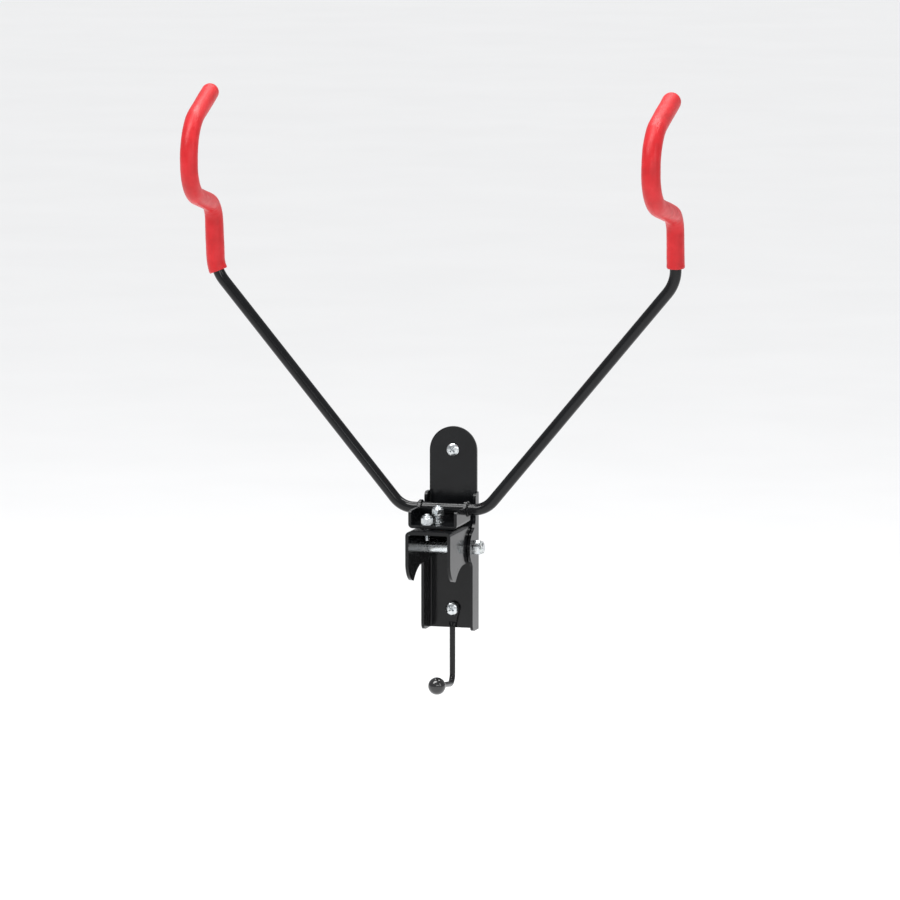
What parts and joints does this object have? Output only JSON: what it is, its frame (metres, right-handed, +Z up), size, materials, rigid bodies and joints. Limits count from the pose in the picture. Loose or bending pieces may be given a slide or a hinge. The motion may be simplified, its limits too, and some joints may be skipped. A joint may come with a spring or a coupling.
{
  "type": "folding bicycle wall rack",
  "caption": "Folding wall rack that holds a bicycle by its top tube on two padded hooks, with a swivelling arm bar and an accessory hook below.",
  "frame": {"origin": "on the wall's face, halfway between the two wall screws", "axes": "+Z up, +X right as seen from the room, +Y into the wall; the rack is stored folded up against the wall"},
  "size_m": [0.4232, 0.1646, 0.5205],
  "materials": {
    "black_coat": "glossy black powder coat",
    "zinc": "bright zinc plate",
    "black_ball": "glossy",
    "nylon": "natural nylon",
    "red_vinyl": "soft vinyl, satin"
  },
  "bodies": {
    "wall": {"wall_plate": "black_coat", "wall_screws": "zinc", "pivot_bolt": "zinc", "pivot_nut": "zinc", "thrust_washers": "nylon", "accessory_hook": "black_coat", "accessory_ball": "black_ball"},
    "fold": {"fold_bracket": "black_coat", "pivot_sleeve": "zinc", "swivel_bolt": "zinc", "friction_disc": "nylon", "swivel_washers": "zinc", "swivel_spring": "zinc", "swivel_nut": "zinc", "lock_stud": "zinc", "lock_washer": "zinc", "lock_nut": "zinc"},
    "arms": {"swivel_tray": "black_coat", "arm_rod": "black_coat", "rod_welds": "black_coat", "left_sleeve": "red_vinyl", "right_sleeve": "red_vinyl"}
  },
  "joints": [
    {"name": "fold_hinge", "type": "hinge", "parent": "wall", "child": "fold", "pos_m": [0, -0.017, -0.0135], "axis": [1, 0, 0], "range_deg": [0, 80]},
    {"name": "arm_swivel", "type": "hinge", "parent": "fold", "child": "arms", "pos_m": [0, -0.0515, 0.008], "axis": [0, 0, 1], "range_deg": [-15, 15]}
  ]
}
